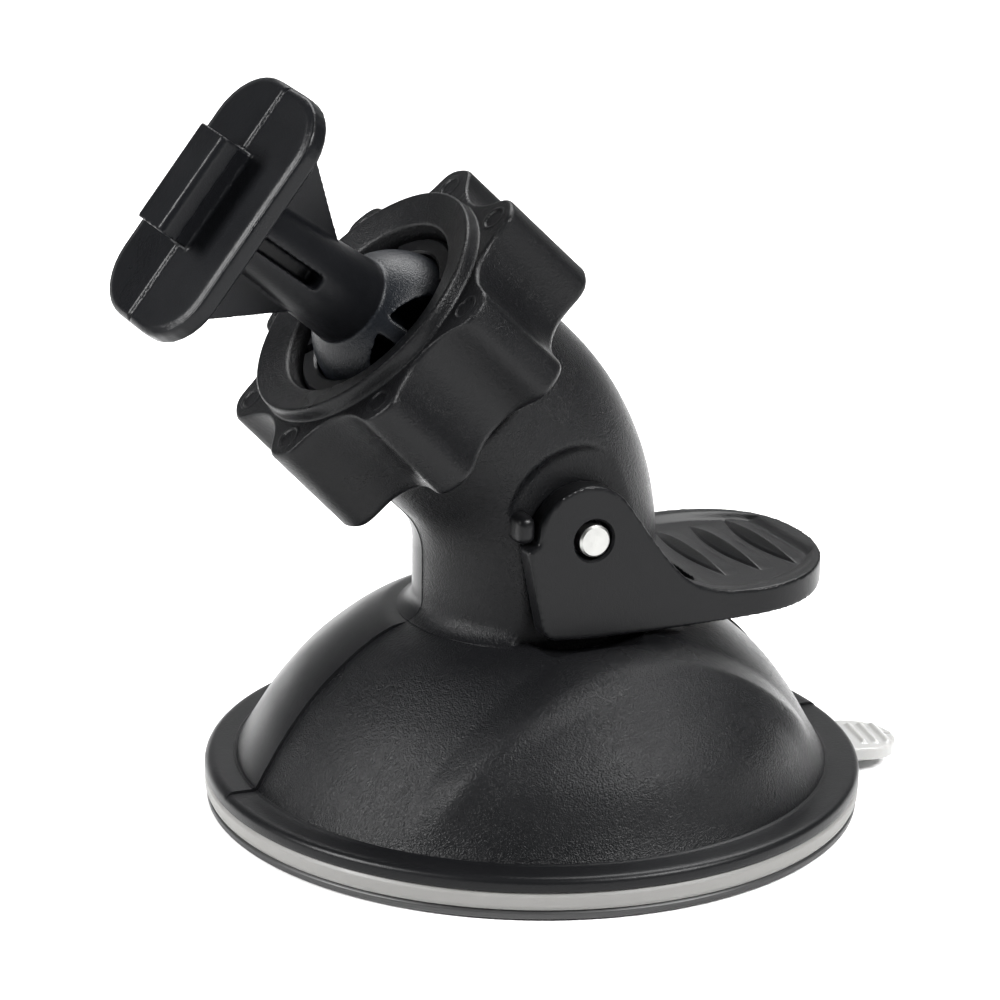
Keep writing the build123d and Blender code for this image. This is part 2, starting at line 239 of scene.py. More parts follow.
def vertices_of(obj):
    """The mesh's points in millimetres."""
    flat = np.empty(len(obj.data.vertices) * 3, np.float64)
    obj.data.vertices.foreach_get("co", flat)
    return flat.reshape(-1, 3) / MM


def set_vertices(obj, points):
    """Moves the mesh's points to new places in millimetres."""
    obj.data.vertices.foreach_set("co", (points * MM).ravel())
    obj.data.update()


def face_centres(obj):
    """The middle of each face in millimetres."""
    flat = np.empty(len(obj.data.polygons) * 3)
    obj.data.polygons.foreach_get("center", flat)
    return flat.reshape(-1, 3) / MM


def subdivide(obj, chosen):
    """Halves the edges whose ends are both among the chosen vertices."""
    work = bmesh.new()
    work.from_mesh(obj.data)
    edges = [edge for edge in work.edges if all(chosen[vertex.index] for vertex in edge.verts)]
    bmesh.ops.subdivide_edges(work, edges=edges, cuts=1, use_grid_fill=True)
    work.to_mesh(obj.data)
    work.free()


def join(name, objects):
    """Makes one object of several, which may overlap."""
    work = bmesh.new()
    for obj in objects:
        work.from_mesh(obj.data)
        bpy.data.objects.remove(obj)
    mesh = bpy.data.meshes.new(name)
    work.to_mesh(mesh)
    work.free()
    joined = bpy.data.objects.new(name, mesh)
    scene.collection.objects.link(joined)
    return finish_mesh(joined)


# ---------------------------------------------------------------- materials
def new_material(name, colour, roughness, **sockets):
    """Material and its shader. A socket's name is written with _ for each space."""
    material = bpy.data.materials.new(name)
    material.use_nodes = True
    nodes = material.node_tree.nodes
    shader = nodes["Principled BSDF"]
    shader.inputs["Base Color"].default_value = (*colour, 1)
    shader.inputs["Roughness"].default_value = roughness
    for socket, value in sockets.items():
        shader.inputs[socket.replace("_", " ")].default_value = value
    return material, shader


def node(material, kind, **inputs):
    """New shader node with some of its inputs set."""
    made = material.node_tree.nodes.new(kind)
    for key, value in inputs.items():
        made.inputs[key.replace("_", " ")].default_value = value
    return made


def wire(material, source, target):
    """Joins an output to an input."""
    material.node_tree.links.new(source, target)


def noise(material, size, detail, roughness):
    """Output of a noise whose features are about size millimetres across, in the object's coordinates."""
    where = node(material, "ShaderNodeTexCoord")
    made = node(material, "ShaderNodeTexNoise", Scale=1 / (size * MM), Detail=detail, Roughness=roughness)
    wire(material, where.outputs["Object"], made.inputs["Vector"])
    return made.outputs["Fac"]


def vary_roughness(material, shader, source, low, high):
    """Lets a noise's usual range, 0.3 to 0.7, move the roughness from low to high."""
    made = node(material, "ShaderNodeMapRange", From_Min=0.3, From_Max=0.7, To_Min=low, To_Max=high)
    wire(material, source, made.inputs["Value"])
    wire(material, made.outputs["Result"], shader.inputs["Roughness"])


def vary_colour(material, shader, source, colour, dark, light):
    """Lets a noise move the colour between dark and light times itself."""
    tint = node(material, "ShaderNodeMix")
    tint.data_type = "RGBA"
    for socket, share in (("A", dark), ("B", light)):
        tint.inputs[socket].default_value = (*[min(1.0, share * c) for c in colour], 1)
    wire(material, source, tint.inputs["Factor"])
    wire(material, tint.outputs["Result"], shader.inputs["Base Color"])


def bump(material, shader, layers):
    """Stacks bumps (source, height in millimetres, strength)."""
    before = None
    for source, height, strength in layers:
        made = node(material, "ShaderNodeBump", Strength=strength, Distance=height * MM)
        wire(material, source, made.inputs["Height"])
        if before is not None:
            wire(material, before.outputs["Normal"], made.inputs["Normal"])
        before = made
    wire(material, before.outputs["Normal"], shader.inputs["Normal"])


def grained_plastic(name, colour, grain, depth, rough, gloss=0.13):
    """Black plastic from a spark-eroded mould: fine grain on a coarser one, and slightly duller patches.

    grain and depth are the fine grain's size and height, and rough the range of the roughness.
    """
    material, shader = new_material(name, colour, rough[0], Specular_IOR_Level=gloss)
    fine = noise(material, grain, 2.0, 0.6)
    coarse = noise(material, 2.3 * grain, 2.0, 0.5)
    patches = noise(material, 9.0, 3.0, 0.55)
    vary_roughness(material, shader, patches, *rough)
    vary_colour(material, shader, patches, colour, 1.0, 1.45)
    bump(material, shader, [(coarse, 1.2 * depth, 0.5), (fine, depth, 1.0)])
    return material


black = (0.0035, 0.0036, 0.004)
shell_black = grained_plastic("shell_black", black, 0.17, 0.085, (0.25, 0.32))
smooth_black = grained_plastic("smooth_black", black, 0.15, 0.018, (0.28, 0.36))
knob_black = grained_plastic("knob_black", black, 0.17, 0.055, (0.26, 0.34))
lever_black = grained_plastic("lever_black", black, 0.15, 0.018, (0.28, 0.36))
stud_black = grained_plastic("stud_black", (0.0030, 0.0032, 0.0038), 0.15, 0.02, (0.26, 0.34))
ball_black = grained_plastic("ball_black", (0.006, 0.0070, 0.0090), 0.16, 0.05, (0.28, 0.36), 0.18)


def rubber(name, colour, roughness, subsurface, cloud):
    """Soft translucent rubber with a cloudy tint and a faint orange-peel surface."""
    material, shader = new_material(
        name, colour, roughness, Subsurface_Weight=subsurface, Subsurface_Scale=2 * MM,
        Subsurface_Radius=(1.0, 0.95, 0.85),
    )
    clouds = noise(material, 5.0, 3.0, 0.5)
    peel = noise(material, 0.5, 2.0, 0.5)
    vary_colour(material, shader, clouds, colour, 1 - cloud, 1 + cloud)
    vary_roughness(material, shader, clouds, 0.85 * roughness, 1.2 * roughness)
    bump(material, shader, [(peel, 0.02, 0.6)])
    return material


pad_rubber = rubber("pad_rubber", (0.15, 0.148, 0.142), 0.5, 0.3, 0.12)
tab_rubber = rubber("tab_rubber", (0.30, 0.30, 0.295), 0.30, 0.4, 0.10)
# the thin layer under the pad is coloured near black, so the band under the pad's lip stays dark under any
# light
under_pad_dark = rubber("under_pad_dark", (0.012, 0.012, 0.0125), 0.42, 0.1, 0.2)


def metal(name, colour, roughness, pit_depth):
    """Plated metal with fine pits and cloudy plating."""
    material, shader = new_material(name, colour, roughness, Metallic=1.0)
    pits = noise(material, 0.12, 4.0, 0.7)
    clouds = noise(material, 1.2, 3.0, 0.6)
    vary_roughness(material, shader, clouds, 0.8 * roughness, 1.4 * roughness)
    vary_colour(material, shader, clouds, colour, 0.85, 1.0)
    bump(material, shader, [(pits, pit_depth, 0.6)])
    return material


zinc = metal("zinc_plate", (0.36, 0.36, 0.35), 0.34, 0.012)
wire_steel = metal("wire_steel", (0.62, 0.61, 0.58), 0.28, 0.006)


def finished(obj, body, slot, *materials):
    """Gives a new piece its materials and body."""
    obj.data.materials.clear()
    for material in materials:
        obj.data.materials.append(material)
    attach(obj, body)
    return obj


# ---------------------------------------------------------------- base shell: dome, flange and neck
dome_base = 29.6                               # where the dome meets the flange
dome_outline = through([                       # radius and height
    (0, 21.0), (6.0, 20.85), (11.5, 20.35), (17.2, 18.4), (22.5, 14.4), (25.9, 10.4), (28.4, 6.4),
    (dome_base, 4.35),
], 400)
neck_radius, neck_offset, neck_bend = 12.05, 0.15, 18.2
fillet = 1.5                                   # between neck and dome
proud, neck_proud = 0.3, 0.06                  # how far the +Y half stands beyond the other
flat_at, flat_radius = 10.45, 8.0              # flats on the neck beside the ears
sweep_radius = 11.95                           # room for the lever's cam round the pin
ear_inner, ear_outer = 10.4, 13.6              # the ears swing between these, with a little room


def dome_height(radius):
    """Height of the plain dome at a radius."""
    return np.interp(radius, dome_outline[:, 0], dome_outline[:, 1])


def dome_normal(radius):
    """Outward normal of the dome as (radial, vertical)."""
    slope = (dome_height(radius + 0.05) - dome_height(radius - 0.05)) / 0.1
    length = np.sqrt(1 + slope**2)
    return -slope / length, 1 / length


def shell_angles(front, rear):
    """Angles round the shell, closer together at the front and in a pair at each mould line."""
    gap = 0.0006
    return np.concatenate((np.linspace(gap, pi - gap, rear), np.linspace(pi + gap, 2 * pi - gap, front)))


def arch(x, z):
    """Raised panel on the front of the dome, under an arc about a point below it, with a lip."""
    centre_x, centre_z, radius = 1.5, -7.1, 27.0
    shoulder, lip, height = 2.0, 2.6, 1.3
    depth = radius - np.hypot(x - centre_x, z - centre_z)
    raised = soft_ramp(depth / shoulder, 0.1) - 0.22 * soft_ramp(depth - lip, 0.15)
    return height * raised * smoothstep(4.6, 11.0, z)


def cam_relief(x, y, surface):
    """How far the shallow recess under each ear goes below the dome."""
    under = np.sqrt(np.maximum(sweep_radius**2 - x**2, 0))
    depth = np.maximum(surface - (pin_centre[2] - under), 0) * (np.abs(x) < sweep_radius)
    inner = smoothstep(ear_inner - 0.4, ear_inner, np.abs(y))
    outer = 1 - smoothstep(ear_outer, ear_outer + 0.7, np.abs(y))
    return depth * inner * outer


def flatten_beside_ears(points):
    """Flats on the neck round the pin, and down to the dome under it, with soft edges."""
    away = np.hypot(points[..., 0], points[..., 2] - pin_centre[2])
    below = smoothstep(0, 5, pin_centre[2] - points[..., 2])
    reach = flat_radius + (sweep_radius - flat_radius) * below
    beyond_neck, edge, soft = 2.2, 2.6, 0.22
    limit = flat_at + beyond_neck * smoothstep(0, edge, away - reach)
    out = np.abs(points[..., 1])
    lower = 0.5 * (out + limit - np.sqrt((out - limit) ** 2 + soft**2)) + 0.05
    points[..., 1] = np.sign(points[..., 1]) * np.minimum(out, lower)
    return points


def make_shell():
    """Neck, dome and flange as one skin, from the middle of the neck's end round to the middle inside."""
    angles = shell_angles(300, 180)
    rear = np.sin(angles) > 0
    ahead = np.stack((np.cos(angles), np.sin(angles)), -1)
    radius = neck_radius + np.where(rear, neck_proud, 0)
    lean = acos(float(socket_axis[2]))
    bend_reach = neck_bend * tan(lean / 2)
    corner = axes_meet + socket_axis * (neck_offset / sin(lean))
    bend_start = corner - np.array((0, 0, bend_reach))
    rows = []

    def ring(centre, tilt, scale=1.0, inset=0.0):
        """The neck's section about a centre, tilted from level."""
        across = np.array((cos(tilt), 0, sin(tilt)))
        spoke = ahead[:, :1] * across + ahead[:, 1:] * Y_AXIS
        return centre + spoke * ((radius - inset) * scale)[:, None]

    # the neck's end, its straight part, its bend and the upright part below
    shoulder, edge = 13.1, 0.8
    for scale in (0, 0.3, 0.6, 0.8):
        rows.append(ring(axes_meet + socket_axis * shoulder, lean, scale))
    for turn in np.linspace(pi / 2, 0, 7):
        drop = edge * (1 - sin(turn))
        rows.append(ring(axes_meet + socket_axis * (shoulder - drop), lean, 1, edge * (1 - cos(turn))))
    bend_end = neck_offset / sin(lean) + bend_reach
    for along in np.linspace(shoulder - edge, bend_end, 10)[1:]:
        rows.append(ring(axes_meet + socket_axis * along, lean))
    for tilt in np.linspace(lean, 0, 34)[1:]:
        centre = bend_start + neck_bend * np.array((cos(tilt) - 1, 0, sin(tilt)))
        rows.append(ring(centre, tilt))
    foot_centre = np.array((-neck_offset, 0.0))
    wall = foot_centre + ahead * radius[:, None]
    cove_top = dome_height(np.hypot(*wall.T)) + fillet
    for share in np.linspace(0, 1, 14)[1:]:
        height = bend_start[2] + (cove_top - bend_start[2]) * share
        rows.append(np.column_stack((wall, height)))
    rows = [flatten_beside_ears(row) for row in rows]
    # the cove that joins the dome
    for share in np.linspace(0, 1, 9)[1:]:
        turn = share * pi / 2
        spot = foot_centre + ahead * (radius + fillet * (1 - cos(turn)))[:, None]
        surface = dome_height(np.hypot(*spot.T))
        relief = cam_relief(spot[:, 0], 0.5 * (ear_inner + ear_outer), surface)
        height = surface + fillet * (1 - sin(turn)) - share * relief
        rows.append(flatten_beside_ears(np.column_stack((spot, height))))
    # the dome, out to the flange
    start = foot_centre + ahead * (radius + fillet)[:, None]
    for share in np.linspace(0, 1, 74)[1:]:
        spot = start * (1 - share) + ahead * dome_base * share
        reach = np.hypot(*spot.T)
        surface = dome_height(reach)
        normal = dome_normal(reach)
        lift = np.where(rear, proud, arch(spot[:, 0], surface))
        lift = lift * smoothstep(0, 0.12, share)
        spread_out = spot + ahead * (normal[0] * lift)[:, None]
        # the upper dome leans a little towards the lever's paddle
        spread_out[:, 0] += 0.25 * smoothstep(6, 15, surface)
        height = surface + normal[1] * lift - cam_relief(spot[:, 0], spot[:, 1], surface)
        rows.append(np.column_stack((spread_out, height)))
    # the flange's edge and underside, as radius, height and share of the step at the mould line
    step_up = np.where(rear, 0.28, 0)
    drawn_radius = 33.0
    for reach, height, raised in (
        (29.72, 4.36, 1), (29.85, 4.28, 1), (30.05, 4.25, 1), (30.9, 4.27, 1), (31.8, 4.30, 1),
        (32.3, 4.30, 0.9), (32.6, 4.24, 0.5), (32.82, 4.10, 0.2), (32.94, 3.92, 0.05), (33.0, 3.7, 0),
        (33.0, 3.3, 0), (33.0, 3.05, 0), (32.92, 2.93, 0), (32.8, 2.9, 0), (31.0, 2.9, 0), (27.4, 2.9, 0),
    ):
        lie = ahead * reach * flange_radius / drawn_radius
        extra = np.where(rear & (reach < dome_base + 0.4), proud, 0)
        rows.append(np.column_stack((lie + ahead * extra[:, None], height + step_up * raised)))
    # the hollow under the dome
    wall_out, wall_up = 2.4, 2.2
    for reach in (27.2, 26.0, 24.0, 20.0, 15.0, 8.0, 0.0):
        ceiling = float(dome_height(reach + wall_out)) - wall_up
        rows.append(np.column_stack((ahead * reach, np.full(len(ahead), ceiling))))
    return skin("shell_body", rows)


def make_collet():
    """Four fingers that grip the ball, as sectors of one turned section."""
    seat, root, mouth, half_slot = 8.0, 12.6, 24.3, 0.6
    inner = [(sqrt(seat**2 - (h - ball_from_cross) ** 2), h) for h in np.linspace(24.1, 14.6, 16)]
    section = [(10.9, root), (10.9, 19.0), (9.5, 24.0), (9.2, mouth), (7.9, mouth), *inner, (2.0, root)]
    fingers = []
    for quarter in range(4):
        middle = radians(90 * quarter)
        grid = []
        for share in np.linspace(-1, 1, 40):
            row = []
            for reach, along in section:
                half = pi / 4 - half_slot / reach
                angle = middle + share * half
                spoke = cos(angle) * Y_AXIS + sin(angle) * socket_up
                row.append(axes_meet + spoke * reach + socket_axis * along)
            grid.append(row)
        fingers.append(skin(f"finger_{quarter}", grid))
    return join("shell_collet", fingers)


def make_stops():
    """A small upright stop on the neck beside each ear."""
    x, z, corner = 0.9, 1.45, 0.8
    outline = rounded([(-x, -z, corner), (x, -z, corner), (x, z, corner), (-x, z, corner)], 0.2)
    middle = pin_centre + np.array((-6.72, 0, 1.5))
    domed = ((8.0, 1.0), (11.6, 1.0), (12.0, 0.95), (12.3, 0.84), (12.5, 0.66), (12.6, 0.4), (12.62, 0.0))
    stops = []
    for way in (1, -1):
        rows = []
        for out, scale in domed:
            flat = outline * scale
            rows.append(middle + np.column_stack((flat[:, 0], np.full(len(flat), way * out), flat[:, 1])))
        stops.append(skin("stop", rows))
    return join("neck_stops", stops)


shell_body = finished(make_shell(), "root", "shell", shell_black, smooth_black)
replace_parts(shell_body, "base_shell")
finished(make_collet(), "root", "shell", smooth_black)
finished(make_stops(), "root", "shell", smooth_black)

# the +Y half and the flange are smoother than the grained front
centres = face_centres(shell_body)
flange_top = 4.45
smooth_faces = (centres[:, 1] > 0) | (centres[:, 2] < flange_top)
shell_body.data.polygons.foreach_set("material_index", smooth_faces.astype(np.int32))


# ---------------------------------------------------------------- clamp knob
lobes, lobe_start = 8, 18                      # the first lobe's angle in degrees
knob_crest, knob_valley, scallop = 17.5, 14.2, 6.0
knob_bore = 11.2


def lobed_outline(columns):
    """Points round the lobed rim, evenly spaced along it, with soft corners between lobe and scallop."""
    pitch = 2 * pi / lobes
    angle = np.linspace(0, 2 * pi, 7200, endpoint=False)
    middle = knob_valley + scallop
    off = (angle - radians(lobe_start)) % pitch - pitch / 2
    inside = np.maximum(scallop**2 - (middle * np.sin(off)) ** 2, 0)
    cut = middle * np.cos(off) - np.sqrt(inside)
    radius = np.where(np.abs(middle * np.sin(off)) < scallop, np.minimum(knob_crest, cut), knob_crest)
    points = np.column_stack((radius * np.cos(angle), radius * np.sin(angle)))
    lengths = np.linalg.norm(np.roll(points, -1, 0) - points, axis=1)
    along = np.concatenate(((0,), np.cumsum(lengths)))
    wanted = np.linspace(0, along[-1], 4 * columns, endpoint=False)
    looped = np.concatenate((points, points[:1]))
    even = np.column_stack([np.interp(wanted, along, looped[:, k]) for k in range(2)])
    softness = 0.95
    reach = softness * len(even) / along[-1]
    offsets = np.arange(-int(3 * reach), int(3 * reach) + 1)
    weights = np.exp(-0.5 * (offsets / reach) ** 2)
    soft = sum(w * np.roll(even, o, axis=0) for o, w in zip(offsets, weights / weights.sum()))
    size = np.hypot(*soft.T)
    lowest = knob_valley - 0.1
    wanted_size = lowest + (knob_crest - lowest) * (size - size.min()) / np.ptp(size)
    return (soft * (wanted_size / size)[:, None])[::4]


def make_knob():
    """Ring of the knob's sections, from the bore out over the back, the lobes and the raised rim."""
    outline = lobed_outline(760)
    radius = np.hypot(*outline.T)
    spoke = outline / radius[:, None]
    back, face = 13.8, 25.1
    back_edge, front_edge = 0.75, 0.42
    rim_foot = 13.55
    rows = []

    def add(radii, height):
        """One loop of the given radii and heights."""
        rows.append(np.column_stack((spoke * radii[:, None], height)))

    def flared(height):
        """The lobes are a little wider towards the neck."""
        share = (face - height) / (face - back)
        return radius + 0.28 * (share - 0.35) * smoothstep(14.2, 16.5, radius)

    full = np.ones_like(radius)
    for share in np.linspace(0, 1, 8):
        add(knob_bore + (flared(back) - back_edge - knob_bore) * share, back * full)
    for turn in np.linspace(0, pi / 2, 6)[1:]:
        add(flared(back) - back_edge * (1 - sin(turn)), (back + back_edge * (1 - cos(turn))) * full)
    for height in np.linspace(back + back_edge, face - front_edge, 22)[1:]:
        add(flared(height), height * full)
    for turn in np.linspace(0, pi / 2, 6)[1:]:
        add(flared(face) - front_edge * (1 - cos(turn)), (face - front_edge * (1 - sin(turn))) * full)
    for share in np.linspace(0, 1, 38)[1:]:
        start = flared(face) - front_edge
        add(start + (rim_foot - start) * share, face * full)
    for reach, height in (
        (13.45, 25.13), (13.38, 25.22), (13.36, 25.5), (13.33, 26.0), (13.30, 26.35), (13.24, 26.50),
        (13.14, 26.58), (13.0, 26.6), (12.85, 26.57), (12.6, 26.50), (12.0, 26.32), (11.4, 26.14),
        (10.8, 25.95), (10.3, 25.79), (10.1, 25.70), (10.0, 25.58), (9.95, 25.4), (9.8, 24.9), (9.65, 24.3),
        (10.2, 22.3), (10.8, 20.4), (knob_bore, 19.0), (knob_bore, 17.0), (knob_bore, 15.0),
    ):
        add(reach * full, height * full)
    grid = np.array(rows)
    # round dimples on the lobes' front faces, each with a faint raised ring
    dimple_reach, dimple_radius = 15.2, 0.9
    for lobe in range(lobes):
        angle = radians(lobe_start + 360 / lobes * lobe)
        away = np.hypot(grid[..., 0] - dimple_reach * cos(angle), grid[..., 1] - dimple_reach * sin(angle))
        on_face = np.abs(grid[..., 2] - face) < 0.02
        raised_ring = 0.07 * np.exp(-(((away - 1.18) / 0.12) ** 2))
        dimple = raised_ring - 0.1 * (1 - smoothstep(dimple_radius, dimple_radius + 0.2, away))
        grid[..., 2] += np.where(on_face, dimple, 0)
    row_side = np.cross(socket_axis, Y_AXIS)
    placed = axes_meet + grid[..., :1] * Y_AXIS + grid[..., 1:2] * row_side + grid[..., 2:] * socket_axis
    return skin("knob_body", placed, ring=True)


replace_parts(finished(make_knob(), "knob", "knob", knob_black), "clamp_knob")

# ---------------------------------------------------------------- cam lever
paddle_tip, lever_half = node_box("cam_lever")[1][:2]
nose_start, nose_power = 18.1, 2.25            # where the paddle's sides end, and how blunt its nose is
ridge_spots = (17.6, 21.6, 25.6)
between_ears = 10.75                           # half the room between the ears


def side_outline():
    """The lever seen along +Y, measured from the pin: round the cam, down to the paddle and back under it."""
    cam_radius = 5.25
    cam_angles = [radians(degrees) for degrees in range(160, 34, -6)]
    crest = [(-0.6 + cam_radius * cos(angle), 0.2 + cam_radius * sin(angle)) for angle in cam_angles]
    swoop = through([
        (3.75, 3.15), (8.3, -3.1), (11.5, -5.95), (16.2, -7.1), (23.0, -7.0), (paddle_tip, -6.35),
    ], 60)
    belly = through([(paddle_tip, -8.9), (24.0, -9.7), (17.0, -10.0), (12.0, -10.1)], 30)
    heel = [
        (6.9, -10.15), (0.9, -10.05), (-3.6, -9.75), (-4.7, -9.4), (-5.2, -8.6), (-6.9, -0.4), (-5.75, 0.1),
    ]
    return np.array([*crest, *swoop, *belly, *heel])


def plan_outline():
    """The lever seen from above: straight sides and a blunt rounded nose."""
    angle = np.linspace(-pi / 2, pi / 2, 90)
    power = 2 / nose_power
    x = nose_start + (paddle_tip - nose_start) * np.cos(angle).clip(0) ** power
    y = lever_half * np.sign(angle) * np.abs(np.sin(angle)) ** power
    rear = -9.0
    return np.array([(rear, -lever_half), *zip(x, y), (rear, lever_half)])


def make_lever():
    """Two ears joined by a paddle, crossed from its side and plan outlines, with ridges on the paddle."""
    lever = prism("lever_body", side_outline(), pin_centre, X_AXIS, Z_AXIS, -lever_half, lever_half)
    combine(lever, prism("plan", plan_outline(), np.zeros(3), X_AXIS, Y_AXIS, 10, 45), "INTERSECT")
    room_start, room_end = -12, 13.3
    room = rounded([
        (room_start, -between_ears, 0), (room_end, -between_ears, 2.5),
        (room_end, between_ears, 2.5), (room_start, between_ears, 0),
    ], 0.5)
    combine(lever, prism("room", room, np.zeros(3), X_AXIS, Y_AXIS, 5, 50), "DIFFERENCE")
    melt(lever, 0.2, 9)
    points = vertices_of(lever)
    along, across, up = points.T
    subdivide(lever, (along > 14.5) & (np.abs(across) < 9.5) & (up > pin_centre[2] - 8.2))
    points = vertices_of(lever)
    normals = np.empty(len(points) * 3)
    lever.data.vertices.foreach_get("normal", normals)
    facing_up = np.clip((normals.reshape(-1, 3)[:, 2] - 0.55) / 0.3, 0, 1)
    along, across = points[:, 0], points[:, 1]
    on_paddle = facing_up * smoothstep(11.0, 15.0, along)
    # how far inside the paddle's edge a point lies
    past = np.clip((along - nose_start) / (paddle_tip - nose_start), 0, 1)
    width = lever_half * (1 - past**nose_power) ** (1 / nose_power)
    inside = np.minimum(width - np.abs(across), (paddle_tip - along) * 1.1)
    change = -0.5 * smoothstep(1.2, 3.2, inside) + 0.2 * smoothstep(3.2, 9.0, inside)
    # leaf-shaped ridges, each steep towards the neck with a groove at its foot
    ridge_middle, ridge_half, ridge_height, groove = 0.2, 7.7, 0.62, 0.14
    leaf = np.maximum(1 - ((across - ridge_middle) / ridge_half) ** 2, 0)
    foot = 1.15 * leaf
    for spot in ridge_spots:
        offset = along - spot
        rise = np.where(offset < 0, 1 + offset / np.maximum(foot, 0.02), 1 - offset / 1.9)
        change += ridge_height * leaf * np.clip(rise, 0, 1)
        change -= groove * leaf**0.5 * np.exp(-(((offset + foot + 0.1) / 0.13) ** 2))
    points[:, 2] += on_paddle * change
    set_vertices(lever, points)
    # the pin's hole, with a chamfer on each ear
    angles = np.linspace(0, 2 * pi, 72, endpoint=False)
    half = [(2.2, 10.7), (2.02, 10.9), (2.02, 12.95), (2.3, 13.3), (2.3, 20), (0, 20)]
    section = [(radius, -out) for radius, out in reversed(half)] + half
    hole = turned(section, angles, pin_centre, Y_AXIS, X_AXIS)
    combine(lever, skin("hole", hole), "DIFFERENCE")
    return finish_mesh(lever, 34)


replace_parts(finished(make_lever(), "lever", "lever", lever_black), "cam_lever")

# ---------------------------------------------------------------- ball stud
ball_radius = 7.77
plate_front, plate_thickness = 26.3, 2.45
plate_back = plate_front - plate_thickness
uphill = Z_AXIS - stem_axis * stem_axis[2]
uphill = uphill / np.linalg.norm(uphill)
twist = Matrix.Rotation(radians(-10.7), 3, Vector(stem_axis))
plate_long = np.array(twist @ Vector(uphill))
plate_short = np.cross(stem_axis, plate_long)


def on_stud(points):
    """From (along the plate, across it, away from the ball) to the frame."""
    return ball_centre + np.asarray(points, float) @ np.stack((plate_long, plate_short, stem_axis))


def plate_outline(length, width):
    """Outline of the plate: flat-ended, with wide round corners, as points and outward directions."""
    corner = 5.4
    x, y = length / 2, width / 2
    points = rounded([(x, -y, corner), (x, y, corner), (-x, y, corner), (-x, -y, corner)], 0.5)
    along = np.roll(points, -1, 0) - np.roll(points, 1, 0)
    outwards = np.column_stack((along[:, 1], -along[:, 0]))
    return points, outwards / np.linalg.norm(outwards, axis=1)[:, None]


def make_plate():
    """The plate, with both its edges rounded."""
    points, outwards = plate_outline(25.9, 15.2)
    edge, back_edge = 0.85, 0.5
    levels = [(edge * (1 - sin(t)), plate_back + back_edge * (1 - cos(t))) for t in np.linspace(0, pi / 2, 5)]
    levels += [(edge * (1 - cos(t)), plate_front - edge * (1 - sin(t))) for t in np.linspace(0, pi / 2, 7)]
    rows = []
    for inset, height in levels:
        flat = points - outwards * inset
        rows.append(on_stud(np.column_stack((flat, np.full(len(flat), height)))))
    return skin("plate", rows)


def make_stud():
    """Ball, stem, gussets, plate and rail, melted into one moulding."""
    angles = np.linspace(0, 2 * pi, 96, endpoint=False)
    arc = [(ball_radius * sin(t), -ball_radius * cos(t)) for t in np.linspace(0, pi, 72)]
    ball_axis = np.array((0.36, 0.48, 0.8))        # askew, so that no cut runs along the ball's edges
    ball = skin("ball", turned(arc, angles, ball_centre, ball_axis, np.array((0.8, -0.6, 0.0))))
    stem_section = [
        (0, 2), (4.4, 2), (4.4, 7.2), (4.30, 8.2), (3.98, 14), (3.52, plate_back - 0.5),
        (3.8, plate_back + 0.2), (3.8, plate_back + 1.0), (0, plate_back + 1.0),
    ]
    stem = skin("stem", turned(stem_section, angles, ball_centre, stem_axis, plate_long))
    # cored pockets, split by a rib, and the slot in the stem
    pocket_radius, half_rib, pocket_floor = 5.6, 0.85, 3.0
    bow = np.linspace(-pi / 2, pi / 2, 40)
    opening = np.column_stack(((pocket_radius * np.cos(bow)).clip(half_rib), pocket_radius * np.sin(bow)))
    for way in (1, -1):
        for side in (1, -1):
            mirrored = side * opening
            rows = [on_stud([(x, way * out, y) for x, y in mirrored]) for out in (pocket_floor, 9.0)]
            for solid in (ball, stem):
                combine(solid, skin("pocket", rows), "DIFFERENCE")
    slot = [(-1.05, 13.4), (0.45, 13.4), (0.45, 21.2), (-1.05, 21.2)]
    rows = [on_stud([(x, out, y) for x, y in slot]) for out in (-6.0, -1.7)]
    combine(stem, skin("slot", rows), "DIFFERENCE")
    gusset_half, foot_half, gusset_start = 11.8, 3.2, 11.0
    gusset = [
        (-gusset_half, plate_back + 1), (-gusset_half, plate_back), (-foot_half, gusset_start),
        (foot_half, gusset_start), (gusset_half, plate_back), (gusset_half, plate_back + 1),
    ]
    wall = prism("gusset", gusset, ball_centre, plate_long, stem_axis, -1.0, 1.0)
    # rail: a web under a head with bevelled long edges
    head, top = plate_front + 2.2, plate_front + 4.4
    section = [
        (-1.5, plate_front - 1), (1.5, plate_front - 1), (1.5, head), (2.5, head), (2.5, top - 0.8),
        (1.4, top), (-2.4, top), (-2.8, top - 0.4), (-2.8, head), (-1.5, head),
    ]
    rail_middle, rail_half = 0.6, 5.1
    ends = (rail_middle - rail_half, rail_middle + rail_half)
    rail = skin("rail", [on_stud([(end, x, y) for x, y in section]) for end in ends])
    stud = join("stud_body", [ball, stem, wall, make_plate(), rail])
    melt(stud, 0.17, 4)
    # the plate's front falls away a little to both sides of a crease
    points = vertices_of(stud)
    local = points - ball_centre
    long, short, out = local @ plate_long, local @ plate_short, local @ stem_axis
    front = smoothstep(plate_front - 0.5, plate_front - 0.1, out) * (out < plate_front + 0.2)
    crease = 0.22 * np.exp(-((short / 0.2) ** 2)) * (np.abs(long - rail_middle) > rail_half + 0.2)
    roof = 0.3 * np.clip(np.abs(short) / 7.6, 0, 1) + crease
    points -= (front * roof)[:, None] * stem_axis
    set_vertices(stud, points)
    return finish_mesh(stud, 40)


stud_body = finished(make_stud(), "stud", "stud", stud_black, ball_black)
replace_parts(stud_body, "ball_stud")
on_ball = np.linalg.norm(face_centres(stud_body) - ball_centre, axis=1) < ball_radius + 0.15
stud_body.data.polygons.foreach_set("material_index", on_ball.astype(np.int32))


# ---------------------------------------------------------------- suction pad, tab and the near-black layer under it
def lathed(name, corners):
    """Round solid of a half section (radius, height, corner radius) about the cup's axis."""
    angles = np.linspace(0, 2 * pi, 360, endpoint=False)
    profile = rounded(corners, 0.9, closed=False)
    return skin(name, turned(profile, angles, np.zeros(3), Z_AXIS, X_AXIS))


